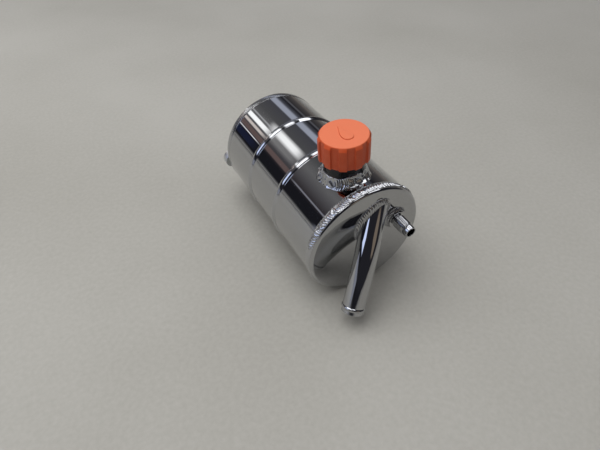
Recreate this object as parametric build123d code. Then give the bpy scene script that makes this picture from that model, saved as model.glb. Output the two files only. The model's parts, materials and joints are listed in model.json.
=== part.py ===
from build123d import *
import os
from math import asin, atan2, cos, degrees, radians, sin, sqrt, tan

# Oil catch can of welded, polished aluminium, lying on its side with the filler cap up.
# Frame: origin at the middle of the two tapped holes in the rear mounting bar, on the bar's
# rear face; +Y points out of the back of the can, +X to the right seen from the front, +Z up.
# All sizes are in millimetres.

# Can body: a rolled shell between two pressed end caps
BODY_R = 63.5
BODY_LENGTH = 207.0
WALL = 2.0
END_FACE_T = 2.0
END_CORNER_R = 3.0
END_LIP = 0.6
SEAM_W = 6.0
FRONT_SEAM_CROWN = 0.9
REAR_SEAM_CROWN = 0.3

# Swaged beads round the shell, each holding a perforated baffle
BEAD_H = 1.6
BEAD_HALF_W = 4.2
BEAD_FOOT_R = 1.0
BEAD_PITCH = 60.0
BEAD_FROM_WELD = 10.4
BAFFLE_T = 2.0
BAFFLE_FIT = 0.2
BAFFLE_HOLE_R = 6.0
BAFFLE_HOLE_COUNT = 8
BAFFLE_HOLE_INSET = 20.0
BAFFLE_DRAIN_H = 9.0

# Filler neck, standing square on the shell near the front, a little left of the top
NECK_BACK = 39.4
NECK_LEAN = 5.0
NECK_R = 20.0
NECK_WALL = 3.0
NECK_SHELL_FIT = 0.15
NECK_INSET = 1.0
NECK_THREAD_DEPTH = 0.9
NECK_PLAIN_IN_CAP = 2.0
NECK_LIP_R = 0.8
NECK_WELD_R = 5.0

# Moulded screw cap with ribs, and the loose sealing ring inside it
CAP_RAISE = 18.3
CAP_H = 24.3
CAP_TOP_T = 3.0
CAP_FIT = 0.5
CAP_WALL = 1.9
RIB_H = 1.6
RIB_COUNT = 10
RIB_ANGLE = 18.0
RIB_SLOPE = 2.6
CAP_EDGE = 0.7
SEAL_T = 2.0
SEAL_FIT = 0.3
SEAL_GAP = 0.15

# Bent hose tube, cut on the slant and welded to the front face
TUBE_R = 11.4
TUBE_WALL = 1.2
TUBE_INSET = 35.4
TUBE_OFFSET = 4.3
TUBE_START_LEAN = 36.2
TUBE_START_RISE = 31.6
TUBE_END_LEAN = 24.3
TUBE_END_RISE = 18.2
TUBE_STRAIGHT = 28.0
TUBE_BEND_R = 50.0
TUBE_TAIL = 51.4
TUBE_LIP_FROM_END = 5.5
TUBE_LIP_H = 0.9
TUBE_LIP_R = 2.2
TUBE_WELD_R = 2.8

# Flared hose fitting, welded to the front face beside the upper part of the tube's joint
FITTING_UP_SHARE = 0.40
FITTING_CLEAR = 2.3
FITTING_BORE_R = 4.6
COLLAR_R = 9.5
COLLAR_L = 4.5
NECKING_R = 6.2
NECKING_L = 1.5
THREAD_R = 7.14
THREAD_L = 12.5
NOSE_R = 5.6
NOSE_L = 6.5
NOSE_STEP = 0.9
FITTING_WELD = 2.8

# Mounting bar across the rear end cap
BAR_H = 19.0
BAR_T = 10.0
BAR_DROP = 13.0
BAR_OVERHANG = 2.5
BAR_HOLE_R = 3.4
BAR_WELD = 4.0
BAR_WELD_FROM_END = 22.0

# Places that follow from the sizes above
AXIS_Z = BAR_DROP
Y_REAR = -BAR_T
Y_FRONT = Y_REAR - BODY_LENGTH
INNER_R = BODY_R - WALL
FLANGE = END_CORNER_R + END_LIP
SHELL_START = Y_FRONT + FLANGE + SEAM_W
SHELL_END = Y_REAR - FLANGE - SEAM_W
FLAT_R = BODY_R - END_CORNER_R
NECK_Y = Y_FRONT + NECK_BACK
NECK_BORE_R = NECK_R - NECK_WALL
BEAD_Y = NECK_Y + NECK_R + NECK_WELD_R + BEAD_FROM_WELD + BEAD_HALF_W
BEAD_YS = (BEAD_Y, BEAD_Y + BEAD_PITCH)
CREST_Z = AXIS_Z + BODY_R
CAP_Z = CREST_Z + CAP_RAISE
CAP_INSIDE_H = CAP_H - CAP_TOP_T
CAP_BORE_R = NECK_R + CAP_FIT
CAP_CORE_R = CAP_BORE_R + CAP_WALL
CAP_R = CAP_CORE_R + RIB_H
SEAL_Z = CAP_Z + CAP_INSIDE_H - SEAL_GAP - SEAL_T
NECK_TOP_Z = SEAL_Z - SEAL_GAP
NECK_BOTTOM_Z = AXIS_Z + sqrt(INNER_R**2 - NECK_R**2) - NECK_INSET
TUBE_BASE = Vector(TUBE_OFFSET, Y_FRONT, AXIS_Z + BODY_R - TUBE_INSET)
JOINT_HALF_L = TUBE_R / sin(radians(TUBE_START_RISE))
JOINT_HALF_W = TUBE_R * sqrt(1 - FITTING_UP_SHARE**2)
FITTING_UP = FITTING_UP_SHARE * JOINT_HALF_L
FITTING_ACROSS = JOINT_HALF_W + TUBE_WELD_R + FITTING_CLEAR + FITTING_WELD + COLLAR_R
SIDE_X, SIDE_Z = cos(radians(TUBE_START_LEAN)), sin(radians(TUBE_START_LEAN))
FITTING_X = TUBE_BASE.X + FITTING_ACROSS * SIDE_X + FITTING_UP * SIDE_Z
FITTING_Z = TUBE_BASE.Z - FITTING_ACROSS * SIDE_Z + FITTING_UP * SIDE_X
BAR_HALF_L = BODY_R + BAR_OVERHANG
BAR_HOLE_X = BAR_HALF_L - BAR_H / 2

# Sections are drawn with u along the can's axis and v away from it, then turned about the axis.
SECTION = Plane(origin=(0, 0, AXIS_Z), x_dir=(0, 1, 0), z_dir=(1, 0, 0))
CAN_AXIS = Axis((0, 0, AXIS_Z), (0, 1, 0))


def turned(section):
    """A section in the (u, v) plane turned once about the can's axis."""
    return revolve(SECTION * section, CAN_AXIS, 360)


def standing_turned(section, y):
    """A section in (radius, height) turned about the upright axis at the given y."""
    upright = Plane(origin=(0, y, 0), x_dir=(1, 0, 0), z_dir=(0, -1, 0))
    return revolve(upright * section, Axis((0, y, 0), (0, 0, 1)), 360)


def leaned(solid):
    """A solid of the filler, drawn upright, turned about the can's axis by the filler's lean."""
    return Pos(0, 0, AXIS_Z) * Rot(0, -NECK_LEAN, 0) * Pos(0, 0, -AXIS_Z) * solid


def beaded_line(base_r):
    """The shell's wall line at a radius, with each bead as a round crest between tangent feet."""
    run = []
    here = (SHELL_START, base_r)
    both_r = (BEAD_HALF_W**2 + BEAD_H**2) / (2 * BEAD_H)
    flank = asin(BEAD_HALF_W / both_r)
    mid_run, mid_rise = BEAD_FOOT_R * sin(flank / 2), BEAD_FOOT_R * (1 - cos(flank / 2))
    end_run, end_rise = BEAD_FOOT_R * sin(flank), BEAD_FOOT_R * (1 - cos(flank))
    for y in BEAD_YS:
        foot, toe = (y - BEAD_HALF_W, base_r), (y + BEAD_HALF_W, base_r)
        left = (foot[0] + end_run, base_r + end_rise)
        right = (toe[0] - end_run, base_r + end_rise)
        run.append(Line(here, foot))
        run.append(ThreePointArc(foot, (foot[0] + mid_run, base_r + mid_rise), left))
        run.append(ThreePointArc(left, (y, base_r + BEAD_H), right))
        run.append(ThreePointArc(right, (toe[0] - mid_run, base_r + mid_rise), toe))
        here = toe
    run.append(Line(here, (SHELL_END, base_r)))
    return run


def shell():
    """Rolled shell with the two beads and the hole for the filler neck."""
    outside, inside = beaded_line(BODY_R), beaded_line(INNER_R)
    front = Line((SHELL_START, INNER_R), (SHELL_START, BODY_R))
    back = Line((SHELL_END, INNER_R), (SHELL_END, BODY_R))
    wall = turned(make_face([*outside, *inside, front, back]))
    drill = Cylinder(NECK_R + NECK_SHELL_FIT, BODY_R, align=(Align.CENTER, Align.CENTER, Align.MIN))
    return wall - leaned(Pos(0, NECK_Y, AXIS_Z + NECK_INSET) * drill)


def end_cap():
    """Pressed dish with a rounded corner and a short flange, its face at u = 0."""
    inner_corner_r = END_CORNER_R - WALL
    corner = 1 - sqrt(0.5)
    outer_mid = (END_CORNER_R * corner, BODY_R - END_CORNER_R * corner)
    inner_mid = (END_FACE_T + inner_corner_r * corner, INNER_R - inner_corner_r * corner)
    outer_start, outer_end = (0, FLAT_R), (END_CORNER_R, BODY_R)
    inner_start = (END_FACE_T + inner_corner_r, INNER_R)
    inner_end = (END_FACE_T, INNER_R - inner_corner_r)
    outline = [
        Line((0, 0), outer_start),
        ThreePointArc(outer_start, outer_mid, outer_end),
        Line(outer_end, (FLANGE, BODY_R)),
        Line((FLANGE, BODY_R), (FLANGE, INNER_R)),
        Line((FLANGE, INNER_R), inner_start),
        ThreePointArc(inner_start, inner_mid, inner_end),
        Line(inner_end, (END_FACE_T, 0)),
        Line((END_FACE_T, 0), (0, 0)),
    ]
    return turned(make_face(outline))


def seam_weld(start, crown):
    """Crowned ring of weld that fills the joint between an end cap and the shell."""
    stop, mid = start + SEAM_W, start + SEAM_W / 2
    outline = [
        Line((start, INNER_R), (start, BODY_R)),
        ThreePointArc((start, BODY_R), (mid, BODY_R + crown), (stop, BODY_R)),
        Line((stop, BODY_R), (stop, INNER_R)),
        Line((stop, INNER_R), (start, INNER_R)),
    ]
    return turned(make_face(outline))


def baffle(y):
    """Perforated disc caught in a bead's groove, with a flat below for the oil to pass."""
    groove_r = INNER_R + BEAD_H - BAFFLE_FIT
    hole_circle_r = INNER_R - BAFFLE_HOLE_INSET
    face = Circle(groove_r)
    face -= PolarLocations(hole_circle_r, BAFFLE_HOLE_COUNT) * Circle(BAFFLE_HOLE_R)
    below = Rectangle(2 * BODY_R, BODY_R, align=(Align.CENTER, Align.MAX))
    face -= Pos(0, BAFFLE_DRAIN_H - INNER_R) * below
    seat = Plane(origin=(0, y + BAFFLE_T / 2, AXIS_Z), x_dir=(1, 0, 0), z_dir=(0, -1, 0))
    return extrude(seat * face, BAFFLE_T)


def filler_neck():
    """Turned neck, set into the shell, plain below and reduced for the thread above."""
    core_r = NECK_R - NECK_THREAD_DEPTH
    plain_z = CAP_Z + NECK_PLAIN_IN_CAP
    outline = Polyline(
        (NECK_BORE_R, NECK_BOTTOM_Z),
        (NECK_R, NECK_BOTTOM_Z),
        (NECK_R, plain_z),
        (core_r, plain_z + NECK_THREAD_DEPTH),
        (core_r, NECK_TOP_Z - NECK_LIP_R),
        (core_r - NECK_LIP_R, NECK_TOP_Z),
        (NECK_BORE_R, NECK_TOP_Z),
        close=True,
    )
    return leaned(standing_turned(make_face(outline), NECK_Y))


def neck_weld():
    """Hollow fillet of weld that runs round the neck's foot on the curved shell."""
    foot_h = BODY_R + CAP_RAISE
    barrel = Pos(0, NECK_Y, AXIS_Z) * Rot(90, 0, 0) * Cylinder(BODY_R, 4 * NECK_R)
    post = Cylinder(NECK_R, foot_h, align=(Align.CENTER, Align.CENTER, Align.MIN))
    joint = barrel + Pos(0, NECK_Y, AXIS_Z) * post
    rounds = joint.edges().filter_by(GeomType.CIRCLE)
    straights = joint.edges().filter_by(GeomType.LINE)
    foot = [e for e in joint.edges() if e not in rounds and e not in straights]
    return leaned(fillet(foot, NECK_WELD_R) - joint)


def filler_cap():
    """Moulded cap: ribbed skirt with sloped rib tops, hollow inside for the neck."""
    reach = 2 * CAP_R
    half = radians(RIB_ANGLE / 2)
    wedge = make_face(Polyline(
        (0, 0),
        (reach, -reach * tan(half)),
        (reach, reach * tan(half)),
        close=True,
    ))
    rib = wedge & Circle(CAP_R)
    outline = Circle(CAP_CORE_R)
    for spot in PolarLocations(0, RIB_COUNT, start_angle=-90):
        outline += spot * rib
    skirt = Pos(0, NECK_Y, CAP_Z) * extrude(outline, CAP_H)
    top_z = CAP_Z + CAP_H
    envelope = Polyline(
        (0, CAP_Z),
        (CAP_R, CAP_Z),
        (CAP_R, top_z - CAP_EDGE - RIB_SLOPE),
        (CAP_CORE_R, top_z - CAP_EDGE),
        (CAP_CORE_R - CAP_EDGE, top_z),
        (0, top_z),
        close=True,
    )
    hollow = Cylinder(CAP_BORE_R, CAP_INSIDE_H, align=(Align.CENTER, Align.CENTER, Align.MIN))
    solid = skirt & standing_turned(make_face(envelope), NECK_Y)
    return leaned(solid - Pos(0, NECK_Y, CAP_Z) * hollow)


def cap_seal():
    """Flat sealing ring that lies loose under the cap's top, over the neck's rim."""
    ring = Circle(CAP_BORE_R - SEAL_FIT) - Circle(NECK_BORE_R)
    return leaned(Pos(0, NECK_Y, SEAL_Z) * extrude(ring, SEAL_T))


def slant(lean, rise):
    """Unit direction down the front face, leaning to -X and rising off the face towards -Y."""
    lean, rise = radians(lean), radians(rise)
    return Vector(-sin(lean) * cos(rise), -sin(rise), -cos(lean) * cos(rise))


TUBE_START = slant(TUBE_START_LEAN, TUBE_START_RISE)
TUBE_END = slant(TUBE_END_LEAN, TUBE_END_RISE)


def tube_points():
    """The tube's centre line: behind the face, the knee of the bend, and the open end."""
    bend_tangent = TUBE_BEND_R * tan(radians(TUBE_START.get_angle(TUBE_END)) / 2)
    behind = TUBE_R / tan(radians(TUBE_START_RISE)) + 2 * END_FACE_T / sin(radians(TUBE_START_RISE))
    knee = TUBE_BASE + TUBE_START * (TUBE_STRAIGHT + bend_tangent)
    return TUBE_BASE - TUBE_START * behind, knee, knee + TUBE_END * (bend_tangent + TUBE_TAIL)


def tube_rod(radius):
    """A solid rod along the tube's bent centre line."""
    start, knee, end = tube_points()
    path = FilletPolyline(start, knee, end, radius=TUBE_BEND_R)
    return sweep(Plane(origin=start, z_dir=TUBE_START) * Circle(radius), path=path)


def in_front():
    """The space in front of the front face."""
    block = Box(4 * BODY_R, 4 * BODY_R, 4 * BODY_R, align=(Align.CENTER, Align.MAX, Align.CENTER))
    return Pos(0, Y_FRONT, AXIS_Z) * block


def outlet_tube():
    """Bent tube with a rolled lip near its open end, cut flush with the front face."""
    end = tube_points()[2]
    lip_plane = Plane(origin=end - TUBE_END * TUBE_LIP_FROM_END, z_dir=TUBE_END)
    lip = lip_plane * Torus(TUBE_R + TUBE_LIP_H - TUBE_LIP_R, TUBE_LIP_R)
    outside = tube_rod(TUBE_R) + lip
    return (outside - tube_rod(TUBE_R - TUBE_WALL)) & in_front()


def tube_weld():
    """Rounded bead that follows the slanted joint of the tube and the front face."""
    turn = degrees(atan2(-TUBE_START.Z, -TUBE_START.X))
    face_plane = Plane(origin=TUBE_BASE, x_dir=(1, 0, 0), z_dir=(0, -1, 0))
    joint = face_plane * Rot(0, 0, turn) * Ellipse(JOINT_HALF_L, TUBE_R)
    path = joint.wire()
    bead = sweep(Plane(origin=path @ 0, z_dir=path % 0) * Circle(TUBE_WELD_R), path=path)
    return (bead & in_front()) - tube_rod(TUBE_R)


def fitting_axis():
    return Axis((FITTING_X, 0, FITTING_Z), (0, 1, 0))


def fitting_turned(outline):
    """A (distance in front of the face, radius) outline turned about the fitting's axis."""
    plane = Plane(origin=(FITTING_X, Y_FRONT, FITTING_Z), x_dir=(0, -1, 0), z_dir=(-1, 0, 0))
    return revolve(plane * make_face(outline), fitting_axis(), 360)


def vent_fitting():
    """Male flared fitting: weld collar, thread relief, thread and coned nose, bored through."""
    thread_start = COLLAR_L + NECKING_L
    thread_end = thread_start + THREAD_L
    nose_end = thread_end + NOSE_L
    return fitting_turned(Polyline(
        (0, FITTING_BORE_R),
        (0, COLLAR_R),
        (COLLAR_L, COLLAR_R),
        (COLLAR_L, NECKING_R),
        (thread_start, NECKING_R),
        (thread_start, THREAD_R),
        (thread_end, THREAD_R),
        (thread_end, THREAD_R - NOSE_STEP),
        (nose_end, NOSE_R),
        (nose_end, FITTING_BORE_R),
        close=True,
    ))


def fitting_weld():
    """Fillet of weld round the fitting's collar."""
    outline = [
        Line((0, COLLAR_R), (FITTING_WELD, COLLAR_R)),
        RadiusArc((FITTING_WELD, COLLAR_R), (0, COLLAR_R + FITTING_WELD), 2 * FITTING_WELD),
        Line((0, COLLAR_R + FITTING_WELD), (0, COLLAR_R)),
    ]
    return fitting_turned(outline)


def front_end_cap():
    """Front end cap with the ways through to the tube and the fitting."""
    bore = Rot(90, 0, 0) * Cylinder(FITTING_BORE_R, 4 * END_FACE_T)
    plate = Pos(0, Y_FRONT, 0) * end_cap() - tube_rod(TUBE_R - TUBE_WALL)
    return plate - Pos(FITTING_X, Y_FRONT, FITTING_Z) * bore


def rear_end_cap():
    """Rear end cap, the same pressing turned about."""
    return Pos(0, Y_REAR, 0) * mirror(end_cap(), Plane.XZ)


def mounting_bar():
    """Flat bar with rounded ends across the rear end cap, with two tapped holes."""
    outline = SlotOverall(2 * BAR_HALF_L, BAR_H)
    outline -= Locations((-BAR_HOLE_X, 0), (BAR_HOLE_X, 0)) * Circle(BAR_HOLE_R)
    return extrude(Plane(origin=(0, 0, 0), x_dir=(1, 0, 0), z_dir=(0, -1, 0)) * outline, BAR_T)


def bar_weld(up):
    """Fillet run along the bar's upper (up = 1) or lower (up = -1) edge."""
    length = 2 * (BAR_HALF_L - BAR_WELD_FROM_END)
    edge = up * BAR_H / 2
    section = make_face(Polyline(
        (Y_REAR, edge),
        (Y_REAR + BAR_WELD, edge),
        (Y_REAR, edge + up * BAR_WELD),
        close=True,
    ))
    end_plane = Plane(origin=(-length / 2, 0, 0), x_dir=(0, 1, 0), z_dir=(1, 0, 0))
    return extrude(end_plane * section, length, dir=(1, 0, 0))


NODES = {
    "shell": shell,
    "front_end_cap": front_end_cap,
    "rear_end_cap": rear_end_cap,
    "front_seam_weld": lambda: seam_weld(Y_FRONT + FLANGE, FRONT_SEAM_CROWN),
    "rear_seam_weld": lambda: seam_weld(SHELL_END, REAR_SEAM_CROWN),
    "front_baffle": lambda: baffle(BEAD_YS[0]),
    "rear_baffle": lambda: baffle(BEAD_YS[1]),
    "filler_neck": filler_neck,
    "neck_weld": neck_weld,
    "filler_cap": filler_cap,
    "cap_seal": cap_seal,
    "outlet_tube": outlet_tube,
    "tube_weld": tube_weld,
    "vent_fitting": vent_fitting,
    "fitting_weld": fitting_weld,
    "mounting_bar": mounting_bar,
    "bar_upper_weld": lambda: bar_weld(1),
    "bar_lower_weld": lambda: bar_weld(-1),
}

os.makedirs("parts", exist_ok=True)
for node, make in NODES.items():
    export_step(make(), f"parts/{node}.step")
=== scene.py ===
import bpy
import bmesh
import json
import math
from mathutils import Matrix, Vector


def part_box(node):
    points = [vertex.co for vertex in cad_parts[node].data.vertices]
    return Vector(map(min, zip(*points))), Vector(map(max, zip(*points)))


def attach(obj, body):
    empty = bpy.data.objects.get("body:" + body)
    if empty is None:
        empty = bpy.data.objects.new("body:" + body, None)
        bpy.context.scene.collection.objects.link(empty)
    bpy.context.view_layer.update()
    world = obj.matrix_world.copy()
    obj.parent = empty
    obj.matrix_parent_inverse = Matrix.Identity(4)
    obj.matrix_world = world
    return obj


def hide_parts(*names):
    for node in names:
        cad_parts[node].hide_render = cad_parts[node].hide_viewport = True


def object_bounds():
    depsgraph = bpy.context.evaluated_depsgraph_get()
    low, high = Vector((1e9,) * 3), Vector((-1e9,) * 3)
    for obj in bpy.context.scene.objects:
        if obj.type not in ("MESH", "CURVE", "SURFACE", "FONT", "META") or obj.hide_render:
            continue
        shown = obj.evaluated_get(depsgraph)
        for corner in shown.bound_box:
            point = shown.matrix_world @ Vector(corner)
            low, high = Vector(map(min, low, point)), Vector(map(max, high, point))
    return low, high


# Looks for a welded, polished aluminium oil catch can that lies on its side with the filler cap up.
# Lengths are in metres and angles in degrees; places come from the boxes of the CAD nodes.

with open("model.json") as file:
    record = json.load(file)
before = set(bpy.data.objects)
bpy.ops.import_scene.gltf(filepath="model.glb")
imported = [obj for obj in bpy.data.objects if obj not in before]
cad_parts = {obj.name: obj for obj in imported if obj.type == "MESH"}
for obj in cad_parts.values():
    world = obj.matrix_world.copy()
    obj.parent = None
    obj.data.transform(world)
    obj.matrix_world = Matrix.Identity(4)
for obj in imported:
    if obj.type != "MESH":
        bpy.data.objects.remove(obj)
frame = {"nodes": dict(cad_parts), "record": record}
cad_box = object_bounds()
nodes = frame["nodes"]
MM = 0.001

# Places read from the CAD nodes
front_low, front_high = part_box("front_end_cap")
seam_low, seam_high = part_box("front_seam_weld")
rear_seam_low, rear_seam_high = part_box("rear_seam_weld")
neck_low, neck_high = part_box("filler_neck")
cap_low, cap_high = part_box("filler_cap")
fitting_low, fitting_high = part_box("vent_fitting")
upper_weld_low, upper_weld_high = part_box("bar_upper_weld")
lower_weld_low, lower_weld_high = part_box("bar_lower_weld")

CAN_R = (front_high.x - front_low.x) / 2
CAN_Z = (front_high.z + front_low.z) / 2
FRONT_Y = front_low.y
NECK_R = (neck_high.y - neck_low.y) / 2
NECK_Y = (neck_high.y + neck_low.y) / 2
CAP_R = (cap_high.y - cap_low.y) / 2
FITTING_X = (fitting_high.x + fitting_low.x) / 2
FITTING_Z = (fitting_high.z + fitting_low.z) / 2
COLLAR_R = (fitting_high.x - fitting_low.x) / 2
FITTING_L = FRONT_Y - fitting_low.y

# Sizes of the finer forms
SHELL_WALL = 2.0 * MM
SEAM_TOE = 0.5 * MM
FRONT_SEAM_TOE = 1.7 * MM
FRONT_SEAM_TOE_DROP = 0.2 * MM
FRONT_SEAM_DRESSED_BELOW = CAN_Z + 8.0 * MM
DRESSED_FADE = 14.0 * MM
DRESSED_LEAST = 0.12
BELOW_ALL = -1.0
NECK_LEAN = 5.0
NECK_TOP_H = 37.3 * MM
NECK_WELD_UP = 9.0 * MM
NECK_WELD_OUT = 5.6 * MM
NECK_WELD_HOLLOW = 0.26
NECK_WELD_UP_SHARE = 0.6
FITTING_WELD_LEG = 2.8 * MM
WELD_SINK = 0.6 * MM
BAR_WELD_BULGE = 0.10
TUBE_R = 11.4 * MM
TUBE_OFFSET = 4.3 * MM
TUBE_INSET = 35.4 * MM
TUBE_BASE = Vector((TUBE_OFFSET, FRONT_Y, CAN_Z + CAN_R - TUBE_INSET))
TUBE_WALL = 1.2 * MM
TUBE_LEAN = 36.2
TUBE_RISE = 31.6
TUBE_END_LEAN = 24.3
TUBE_END_RISE = 18.2
TUBE_TO_KNEE = 35.47 * MM
TUBE_PAST_KNEE = 58.87 * MM
TUBE_BEND_BEFORE = 16.5 * MM
TUBE_BEND_AFTER = 32.0 * MM
TUBE_LIP_FROM_END = 5.5 * MM
TUBE_LIP_H = 0.9 * MM
TUBE_LIP_R = 2.2 * MM
TUBE_EDGE = 0.25 * MM
TUBE_SIDES = 120
TUBE_BEND_STEPS = 60
TUBE_TAIL_STEPS = 120
TUBE_CREASE = 30.0
TUBE_WELD_LEG = 2.9 * MM
TUBE_WELD_SWELL = 3.6 * MM
TUBE_WELD_BULGE = 0.18
CAP_RAISE = 18.3 * MM
CAP_H = 24.3 * MM
CAP_RIB_H = 1.6 * MM
CAP_CORE_R = CAP_R - CAP_RIB_H
CAP_TOP_T = 3.0 * MM
CAP_BORE_R = 20.5 * MM
CAP_EDGE = 0.7 * MM
CAP_RIBS = 10
CAP_RIB_START = -90.0
CAP_RIB_ANGLE = 18.0
CAP_RIB_SLOPE = 2.6 * MM
CAP_RIB_FLANK = 1.6
CAP_ROUND = 0.35 * MM
CAP_SIDES = 900
DROP_H = 0.9 * MM
DROP_LENGTH = 22.0 * MM
DROP_WIDTH_SHARE = 0.36
DROP_POINTEDNESS = 1.5
DROP_EDGE = 0.9 * MM
DROP_SINK = 0.1 * MM
FITTING_BORE_R = 4.6 * MM
FITTING_COLLAR_L = 4.5 * MM
FITTING_NECKING_L = 1.5 * MM
FITTING_NECKING_R = 6.0 * MM
FITTING_THREAD_L = 12.5 * MM
FITTING_THREAD_R = 7.14 * MM
FITTING_CORE_R = 6.6 * MM
FITTING_PITCH = 1.411 * MM
FITTING_RIDGE = 1.1 * MM
FITTING_RUN_OUT = 0.06
FITTING_GROOVE_R = 5.6 * MM
FITTING_GROOVE_L = 0.9 * MM
FITTING_SHOULDER_R = 6.24 * MM
FITTING_SHOULDER_L = 3.4 * MM
FITTING_NOSE_R = 5.6 * MM
FITTING_ROUND = 0.3 * MM
FITTING_SIDES = 96
FITTING_CREASE = 35.0
NECK_THREAD_R = 19.9 * MM
NECK_PITCH = 5.0 * MM
NECK_THREAD_TURNS = 2.5
NECK_THREAD_BELOW_TOP = 1.8 * MM
NECK_RIDGE = 1.2 * MM
NECK_RUN_OUT = 0.08
THREAD_STEPS = 64
RIDGE_SIDES = 10
BAR_EDGE = 0.6 * MM
BAR_EDGE_STEPS = 3
BAR_EDGE_ANGLE = 40.0
BAR_FLAT_ANGLE = 1.0

# Waves in the width of the neck's weld round the neck: the share, how many a turn, and the start in radians
NECK_WELD_WAVES = ((0.13, 5, 0.6), (0.07, 11, 2.1), (0.04, 17, 0.0))

# How far the ripples of a weld run drift and how lumpy they are, for an unevenness of one
DRIFT_RATE = 0.31
DRIFT_AMOUNT = 3.0
LUMPS_PER_RIPPLE = 0.45
LUMP_AMOUNT = 4.0
RIPPLE_MIDDLE = 0.6

# The filler's own frame: its height runs from the can's axis, leaning a little to the left
FILLER = Matrix.Translation((0, NECK_Y, CAN_Z)) @ Matrix.Rotation(-math.radians(NECK_LEAN), 4, "Y")

# Camera, from the perspective of the photograph
CAMERA_PLACE = Vector((-0.1989, -0.4391, 0.3233))
CAMERA_TURN = -29.12
CAMERA_DOWN = 44.68
CAMERA_LENS = 25.66
CAMERA_SENSOR = 36.0

# Lamp and floor; the lamp's turn is in radians
LAMP_SIZE = 1.8
LAMP_POWER = 30
LAMP_PLACE = (-0.6, 0.25, 1.8)
LAMP_TURN = (-0.14, -0.28, 0)
FLOOR_HALF = 8.0
FLOOR_ROUGHNESS = 0.55
FLOOR_CLOUD_SCALE = 2.2
FLOOR_MOTTLE_SCALE = 210.0
FLOOR_MOTTLE = 0.45

# How much finer the grain of a metal is than its haze
GRAIN_FINENESS = 30.0

# Base colours; the metals are darker than bare aluminium, to match the photograph's tones in this light
POLISHED = (0.47, 0.475, 0.485)
WELD = (0.47, 0.475, 0.485)
MILL = (0.68, 0.69, 0.70)
# Painted shade: the filler neck is coloured nearly black, for the shade under the cap's rim.
NECK_PAINTED_SHADE = (0.045, 0.046, 0.05)
ORANGE = (0.60, 0.080, 0.018)
# Paler orange for the scuffs, and for the painted light on the cap's upward faces.
ORANGE_SCUFF_AND_TOP_LIGHT = (0.76, 0.190, 0.088)
RUBBER = (0.025, 0.025, 0.027)
RUBBER_WORN = (0.05, 0.05, 0.05)
FLOOR_PALE = (0.430, 0.419, 0.385)
FLOOR_DARK = (0.362, 0.350, 0.316)
BACKDROP = (0.80, 0.79, 0.76)
SOFT_LIGHT_LOW = (0.08, 0.08, 0.083)
SOFT_LIGHT_HIGH = (0.57, 0.57, 0.58)

# What shows in the polish, by the angle about the can's axis from the right horizon over the top:
# a dim room, and in front of it soft boxes and dark cloths, each with its two angles, the
# shares of the way to the back between which it hangs, the softness of its edges and its colour.
# Only reflections see them; their places and colours were set from the photograph's tones
ROOM_LEVEL = 1.67
BOX_END = 0.008
ROOM = (
    (0, (0.150, 0.135, 0.122)), (14, (0.055, 0.050, 0.050)), (36, (0.014, 0.014, 0.018)),
    (44, (0.060, 0.062, 0.075)), (66, (0.060, 0.060, 0.070)), (90, (0.075, 0.075, 0.078)),
    (112, (0.128, 0.126, 0.128)), (130, (0.078, 0.075, 0.080)), (145, (0.036, 0.032, 0.035)),
    (155, (0.010, 0.010, 0.013)), (175, (0.010, 0.010, 0.013)), (178, (0.120, 0.120, 0.120)),
    (180, (0.240, 0.230, 0.220)),
)
SOFT_BOXES = (
    (-9, 171, -1.20, -0.10, 4, (0.016, 0.016, 0.020)),
    (30, 86, -0.97, -0.80, 8, (0.170, 0.137, 0.107)),
    (45, 66, -0.30, 0.54, 4, (1.500, 1.510, 1.570)),
    (75, 92, -0.30, 0.54, 4, (1.300, 1.310, 1.370)),
    (101, 124, -0.30, 0.54, 4, (1.500, 1.510, 1.570)),
    (138, 161, -0.06, 0.57, 4, (0.700, 0.800, 1.100)),
    (172, 189, -0.25, 0.60, 3, (0.200, 0.210, 0.250)),
    (28, 33, 0.60, 1.20, 2, (0.085, 0.085, 0.095)),
    (46, 62, 0.60, 1.20, 3, (0.330, 0.350, 0.420)),
    (110, 129, 0.712, 0.770, 8, (0.200, 0.195, 0.195)),
    (97, 113, 0.712, 0.770, 8, (1.100, 1.100, 1.090)),
    (107, 110, 0.770, 1.20, 2, (0.400, 0.400, 0.410)),
    (115, 125, 0.770, 1.20, 2, (1.200, 1.200, 1.190)),
    (130, 136, 0.770, 1.20, 2, (0.660, 0.590, 0.550)),
    (139, 149, 0.700, 1.20, 2, (0.125, 0.088, 0.084)),
    (151, 153, 0.770, 1.20, 1, (0.850, 0.850, 0.880)),
    (147, 150, 0.500, 0.690, 1, (0.200, 0.200, 0.230)),
    (156, 171, 0.770, 1.20, 2, (0.012, 0.015, 0.034)),
)


# Node helpers

def link_or_set(tree, socket, value):
    """Feeds a socket from another socket, or sets it to a plain value."""
    if isinstance(value, bpy.types.NodeSocket):
        tree.links.new(value, socket)
    else:
        socket.default_value = value


def maths(tree, operation, *values):
    """A Math node on numbers or sockets; gives its output socket."""
    node = tree.nodes.new("ShaderNodeMath")
    node.operation = operation
    for socket, value in zip(node.inputs, values):
        link_or_set(tree, socket, value)
    return node.outputs[0]


def noise(tree, vector, scale, detail=2.0, dimensions="3D"):
    """A Noise texture; gives its value socket."""
    node = tree.nodes.new("ShaderNodeTexNoise")
    node.noise_dimensions = dimensions
    link_or_set(tree, node.inputs["W" if dimensions == "1D" else "Vector"], vector)
    link_or_set(tree, node.inputs["Scale"], scale)
    node.inputs["Detail"].default_value = detail
    return node.outputs[0]


def remap(tree, value, low, high, to_low, to_high):
    """A clamped Map Range node; gives its result socket."""
    node = tree.nodes.new("ShaderNodeMapRange")
    for socket, number in zip(node.inputs, (value, low, high, to_low, to_high)):
        link_or_set(tree, socket, number)
    return node.outputs[0]


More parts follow.
